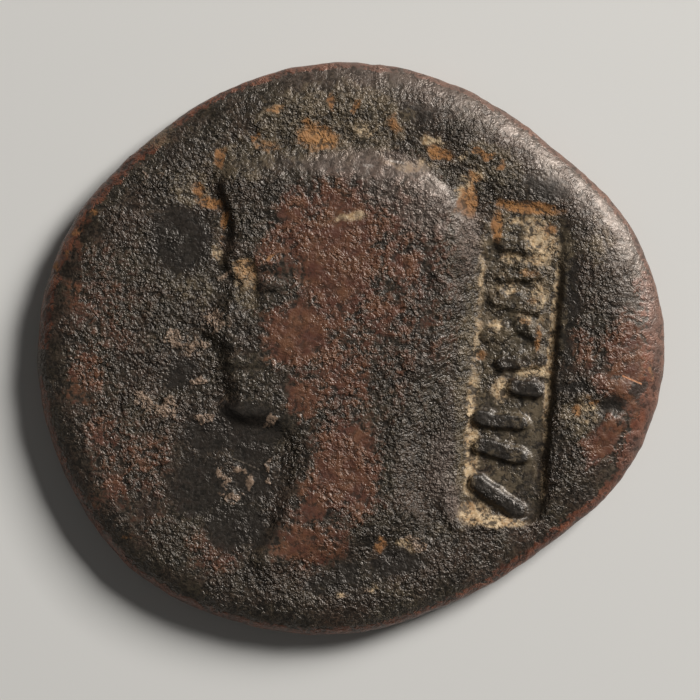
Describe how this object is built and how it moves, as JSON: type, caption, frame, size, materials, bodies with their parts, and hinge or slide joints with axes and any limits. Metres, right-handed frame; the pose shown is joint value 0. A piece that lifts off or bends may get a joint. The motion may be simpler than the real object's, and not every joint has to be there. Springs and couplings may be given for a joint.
{
  "type": "roman bronze coin",
  "caption": "Worn oval bronze coin: a low-relief head facing left, a sunk oblong countermark with raised strokes beside it, and a worn standing figure on the reverse.",
  "frame": {"origin": "middle of the coin's footprint, on the surface that its reverse rests on", "axes": "+Z out of the obverse, +Y towards the crown of the head, +X away from its face, along the longest chord"},
  "size_m": [0.029, 0.0264, 0.0025],
  "materials": {
    "bronze": "worn, pitted dark brown patina with red copper high spots and ochre earth in the hollows"
  },
  "bodies": {
    "root": {"coin": "bronze"}
  },
  "joints": []
}
